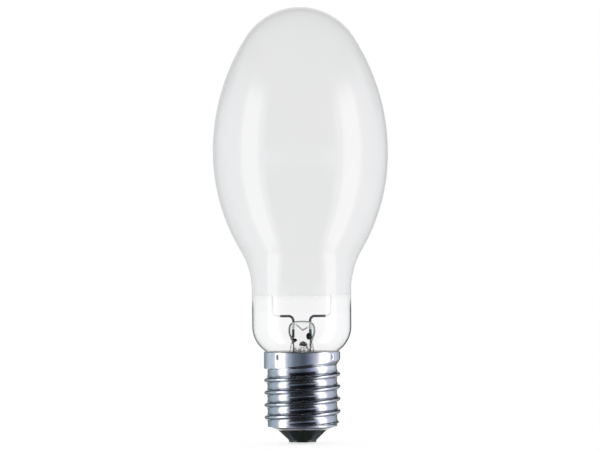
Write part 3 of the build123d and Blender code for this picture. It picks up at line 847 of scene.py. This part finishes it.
def shell_surface():
    """The closed shell as rows of rings: up the inside, over the rim, down the outside at the
    radius worked out above, and round the bottom to the lip."""
    angle = cap_angles()[None, :]
    rim = RIM_Z - SHEET / 2
    heights = np.arange(rim, RUN_OUT_Z, -CAP_STEP)[:, None]
    radius = shell_radius(angle, heights)
    outside = np.stack([radius * np.cos(angle), radius * np.sin(angle), heights + 0 * angle], -1)
    bottom_run = (BOTTOM_ROUND, -BOTTOM_TURN, BOTTOM_STEPS)
    bend = tangent_arcs((ROOT_RADIUS, WALL_BOTTOM), -90.0, [bottom_run])
    bend = bend[bend[:, 1] < RUN_OUT_Z - 0.05]
    lip = np.concatenate([bend, straight(bend[-1], (LIP_RADIUS + 0.3, LIP_Z))])
    lip = np.concatenate([lip, [(LIP_RADIUS + 0.1, LIP_Z), (LIP_RADIUS, LIP_Z + 0.1)]])
    inside = [
        (LIP_RADIUS, LIP_Z + SHEET),
        (bend[-1][0], bend[-1][1] + SHEET),
        (ROOT_RADIUS - BOTTOM_ROUND * 0.35, WALL_BOTTOM - BOTTOM_ROUND * 0.6),
        (ROOT_RADIUS - SHEET, WALL_BOTTOM),
        (ROOT_RADIUS - SHEET, SKIRT_EDGE),
        (SKIRT_RADIUS - SHEET - STAKE_DEPTH, SKIRT_EDGE + 4.0),
        (SKIRT_RADIUS - SHEET - STAKE_DEPTH, STAKE_Z + 1.7),
        (SKIRT_RADIUS - SHEET, RIM_Z - 0.2),
        (SKIRT_RADIUS - SHEET + 0.06, RIM_Z - 0.06),
        (SKIRT_RADIUS - SHEET / 2, RIM_Z),
        (SKIRT_RADIUS - 0.06, RIM_Z - 0.06),
    ]
    points = np.concatenate([round_rings(inside, angle), outside, round_rings(lip, angle)])
    return points, grid_faces(len(points), angle.size, looped=True)


def plated_nickel():
    """Bright nickel over rolled brass, with fine rings left by the roller, a little haze and a matt
    white lining of cement inside the rim. Painted shade darkens the thread and the bottom of each
    stake."""
    finish = Finish(bpy.data.materials.new("plated_nickel"))
    x, y, z, here = finish.place()
    rings = finish.noise(here, 1.0, 4.0, (0.05, 0.05, 2.4))
    haze = finish.noise(here, 0.22, 4.0)
    inward = SKIRT_RADIUS - (x * x + y * y) ** 0.5
    # painted shadow: the bottom of each stake is coloured near black for the shade in the dimple
    stakes = inward.rise(*STAKE_SHADE) * z.rise(*STAKE_FOOT) * (1 - z.rise(*STAKE_HEAD))
    # painted shade: the thread's plating is coloured darker than the skirt's, for the darker
    # reflections it shows
    threaded = 1 - z.rise(SKIRT_EDGE - 2.0, SKIRT_EDGE)
    plating = finish.blend(haze.rise(0.35, 0.7), *PLATING_TONES)
    plating = finish.blend(threaded, plating, THREAD_PAINTED_SHADE)
    plating = finish.blend(stakes * 0.8, plating, STAKE_SHADOW)
    inside = inward.rise(SHEET * 0.6, SHEET * 0.9) * (1 - stakes)
    lining = z.rise(CEMENT_Z - 0.3, CEMENT_Z) * inside
    return finish.surface(
        Base_Color=finish.blend(lining, plating, CEMENT_WHITE),
        Metallic=1 - lining,
        Roughness=haze * 0.1 + rings * 0.08 + 0.07 + lining * 0.7,
        Normal=finish.bump(rings, 0.02),
    )


cap = piece("screw_shell", *shell_surface(), plated_nickel(), "cap_nickel", 50.0)
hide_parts("cap_shell")

# Insulator: dark glass, moulded hot into the bottom of the shell and held there by the rolled-in
# lip. Its cone goes down to the centre contact.
CONTACT_RADIUS = 7.1
INSULATOR_FOOT = 1.0
INSULATOR_STUB = 0.9
INSULATOR_TOP = 12.1
EYELET_RADIUS = 1.7
INSULATOR_COLUMNS = 128


def dark_glass():
    """Almost black moulded glass with a green cast, a smooth skin and faint flow marks."""
    finish = Finish(bpy.data.materials.new("insulator_glass"))
    here = finish.place()[3]
    flow = finish.noise(here, 0.35, 3.0)
    return finish.surface(
        Base_Color=finish.blend(flow, (0.006, 0.009, 0.008), (0.014, 0.018, 0.016)),
        Roughness=0.12 + flow * 0.1,
        IOR=1.5,
        Normal=finish.bump(flow, 0.06),
    )


insulator_section = [
    (EYELET_RADIUS, INSULATOR_FOOT),
    (CONTACT_RADIUS - 0.1, INSULATOR_FOOT),
    (CONTACT_RADIUS, INSULATOR_FOOT + 0.1),
    (CONTACT_RADIUS, INSULATOR_FOOT + INSULATOR_STUB - 0.1),
    (CONTACT_RADIUS + 0.1, INSULATOR_FOOT + INSULATOR_STUB + 0.1),
    (LIP_RADIUS - 0.45, LIP_Z - 0.3),
    (LIP_RADIUS - 0.12, LIP_Z + 0.1),
    (LIP_RADIUS - 0.12, LIP_Z + SHEET + 0.3),
    (ROOT_RADIUS - 1.8, WALL_BOTTOM - 1.2),
    (ROOT_RADIUS - SHEET - 0.1, INSULATOR_TOP),
    (EYELET_RADIUS, INSULATOR_TOP),
]
insulator_mesh = turned(insulator_section, INSULATOR_COLUMNS, looped=True)
insulator = piece("glass_insulator", *insulator_mesh, dark_glass(), "insulator_glass", 30.0)
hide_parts("cap_insulator")

# Centre contact and solder: a plated disc turned up at its edge on a hollow eyelet, closed by a
# dome of solder round the end of the lead. A bead of solder holds the other lead to the shell.
contact_metal = wire_finish("contact_metal", (0.86, 0.86, 0.85), (0.93, 0.93, 0.92), 0.5, metallic=0.2)
solder = wire_finish("solder", (0.5, 0.5, 0.51), (0.62, 0.62, 0.63), 0.3, 0.1)
dress(contact_metal, "centre_contact")
dress(solder, "centre_solder", "side_solder")

# Floor: a pale level surface under the lamp. It is mostly its own white, so that only a faint
# shadow shows on it, and the polished pieces show the studio in its place. Both sum up to white.
FLOOR_SIZE = 6.0
FLOOR_TONES = ((0.19, 0.19, 0.19), (0.21, 0.21, 0.21))
FLOOR_GLOW = 0.82
WHITE = (1.0, 1.0, 1.0)


def pale_floor():
    """White paper with a faint fleck, left out of reflections and of the view through glass."""
    finish = Finish(bpy.data.materials.new("pale_floor"))
    fleck = finish.noise(finish.place()[3], 0.02)
    settings = {
        "Base Color": finish.blend(fleck, *FLOOR_TONES),
        "Roughness": 0.9,
        "Specular IOR Level": 0.0,
        "Emission Color": (*WHITE, 1.0),
        "Emission Strength": FLOOR_GLOW,
    }
    paper = finish.node("ShaderNodeBsdfPrincipled", None, settings)[0]
    through = finish.maths("MAXIMUM", finish.ray("Is Glossy Ray"), finish.ray("Is Transmission Ray"))
    nothing = finish.node("ShaderNodeBsdfTransparent")[0]
    return finish.done(finish.mixed(through, paper, nothing))


floor_mesh = bpy.data.meshes.new("floor")
half = FLOOR_SIZE / 2
floor_corners = [(-half, -half, 0.0), (half, -half, 0.0), (half, half, 0.0), (-half, half, 0.0)]
floor_mesh.from_pydata(floor_corners, [], [(0, 1, 2, 3)])
floor_mesh.materials.append(pale_floor())
floor = bpy.data.objects.new("floor", floor_mesh)
bpy.context.scene.collection.objects.link(floor)

# Studio: a map of directions round the lamp. A lit screen stands behind it and a low soft box on
# each side, a little forward, with dark gaps between them, and the ceiling is dim.
# each stop: degrees round from the camera, to its left or right, and the light from there
STUDIO_RING = [
    (-180.0, (1.0, 1.0, 1.0)),
    (-168.0, (1.0, 1.0, 1.0)),
    (-164.0, (0.20, 0.24, 0.25)),
    (-154.0, (0.24, 0.29, 0.30)),
    (-132.0, (0.48, 0.58, 0.62)),
    (-116.0, (0.67, 0.77, 0.86)),
    (-96.0, (0.76, 0.82, 0.90)),
    (-88.0, (0.95, 1.00, 1.05)),
    (-82.0, (2.6, 2.6, 2.7)),
    (-60.0, (2.8, 2.8, 2.8)),
    (-55.0, (1.4, 1.4, 1.5)),
    (-46.0, (0.68, 0.71, 0.85)),
    (-38.0, (0.48, 0.56, 0.68)),
    (-24.0, (0.22, 0.27, 0.34)),
    (3.0, (0.10, 0.13, 0.165)),
    (9.0, (0.12, 0.14, 0.19)),
    (22.0, (0.24, 0.27, 0.38)),
    (34.0, (0.50, 0.53, 0.69)),
    (46.0, (0.83, 0.83, 0.95)),
    (56.0, (1.3, 1.28, 1.35)),
    (61.0, (2.8, 2.8, 2.8)),
    (83.0, (2.8, 2.8, 2.8)),
    (90.0, (1.25, 1.20, 1.37)),
    (100.0, (0.98, 0.96, 1.10)),
    (118.0, (0.80, 0.85, 0.97)),
    (134.0, (0.55, 0.62, 0.68)),
    (149.0, (0.40, 0.45, 0.47)),
    (154.0, (0.12, 0.14, 0.15)),
    (164.0, (0.04, 0.05, 0.05)),
    (168.0, (1.0, 1.0, 1.0)),
    (180.0, (1.0, 1.0, 1.0)),
]
RING_TOP = 4.0
RING_FOOT = (-0.88, -0.72)
RING_HEAD = (0.34, 0.62)
CEILING = (0.05, 0.055, 0.065)
SOFT_LIGHT = (1.03, 1.03, 1.03)
EVENNESS = 0.95
# the dim upper and lower parts of each side: where they begin or end, as shares of a turn from
# the camera's side, how steep the way there is, and how dim they are
AHEAD_END = (0.122, 0.14)
AHEAD_STEEP = (0.05, 0.14)
AHEAD_DIM = 0.93
ASIDE_START = (0.33, 0.37)
ASIDE_ABOVE = (0.1, 0.35)
ASIDE_BELOW = (0.2, 0.5)
ASIDE_DIM = (0.75, 0.45)
BEHIND_START = (0.455, 0.465)
BEHIND_STEEP = (0.22, 0.45)
BEHIND_DIM = 0.6
# the middle height between those parts, and where the white side that glass shows ends
HORIZON = -0.05
CLEAR_END = (0.045, 0.06)

studio = Finish(bpy.data.worlds.new("studio"))
bpy.context.scene.world = studio.owner
# light is only gathered along scattered rays, which know how they were scattered
studio.owner.cycles.sampling_method = "NONE"
toward = studio.read("ShaderNodeTexCoord", "Generated")
east, north, up = studio.node("ShaderNodeSeparateXYZ", None, {0: toward})
round_from_camera = studio.maths("ARCTAN2", east, north * -1.0) / (2 * math.pi) + 0.5
ramp = studio.tree.nodes.new("ShaderNodeValToRGB")
for index, (degrees, colour) in enumerate(STUDIO_RING):
    stops = ramp.color_ramp.elements
    share = degrees / 360 + 0.5
    stop = stops[index] if index < 2 else stops.new(share)
    stop.position = share
    stop.color = (*[part / RING_TOP for part in colour], 1.0)
studio.tree.links.new(round_from_camera.link, ramp.inputs[0])
ring = studio.scaled(Socket(studio, ramp.outputs[0]), RING_TOP)
level = up.rise(*RING_FOOT) * (1 - up.rise(*RING_HEAD))
off_axis = studio.maths("ABSOLUTE", round_from_camera - 0.5)
steepness = studio.maths("ABSOLUTE", up - HORIZON)
ahead = (1 - off_axis.rise(*AHEAD_END)) * steepness.rise(*AHEAD_STEEP) * AHEAD_DIM
down = up * -1.0
slope = up.rise(*ASIDE_ABOVE) * ASIDE_DIM[0] + down.rise(*ASIDE_BELOW) * ASIDE_DIM[1]
back = off_axis.rise(*BEHIND_START)
aside = off_axis.rise(*ASIDE_START) * (1 - back) * slope
behind = back * steepness.rise(*BEHIND_STEEP) * BEHIND_DIM
room = studio.scaled(studio.blend(level, CEILING, ring), 1 - ahead - aside - behind)
# through glass the side of the camera is white too, so that the stem is clear from behind
across = studio.ray("Is Transmission Ray") * (1 - off_axis.rise(*CLEAR_END))
room = studio.blend(across, room, WHITE)
scattered = studio.maths("GREATER_THAN", studio.ray("Diffuse Depth"), 0.5)
room = studio.blend(scattered * EVENNESS, room, SOFT_LIGHT)
seen = studio.blend(studio.ray("Is Camera Ray"), room, WHITE)
light = studio.node("ShaderNodeBackground", None, {"Color": seen, "Strength": 1.0})[0]
studio.done(light, "ShaderNodeOutputWorld")

# Camera: level with the middle of the lamp and two metres in front, turned by a fraction of a
# degree because the lamp leans a little to the left in the view.
CAMERA_PLACE = (-0.0005, -2.0, 0.1122)
CAMERA_ROLL = 0.45
VIEW_WIDTH = 0.3078
SENSOR = 36.0

camera_data = bpy.data.cameras.new("camera")
camera_data.sensor_width = SENSOR
camera_data.lens = SENSOR * -CAMERA_PLACE[1] / VIEW_WIDTH
camera = bpy.data.objects.new("camera", camera_data)
bpy.context.scene.collection.objects.link(camera)
upright = Matrix.Rotation(math.radians(90), 4, "X")
camera.matrix_world = (
    Matrix.Translation(CAMERA_PLACE) @ Matrix.Rotation(math.radians(CAMERA_ROLL), 4, "Y") @ upright
)
bpy.context.scene.camera = camera
bpy.context.scene.view_settings.view_transform = "Standard"
# a view through the stem crosses ten faces of glass
bpy.context.scene.cycles.transparent_max_bounces = 24
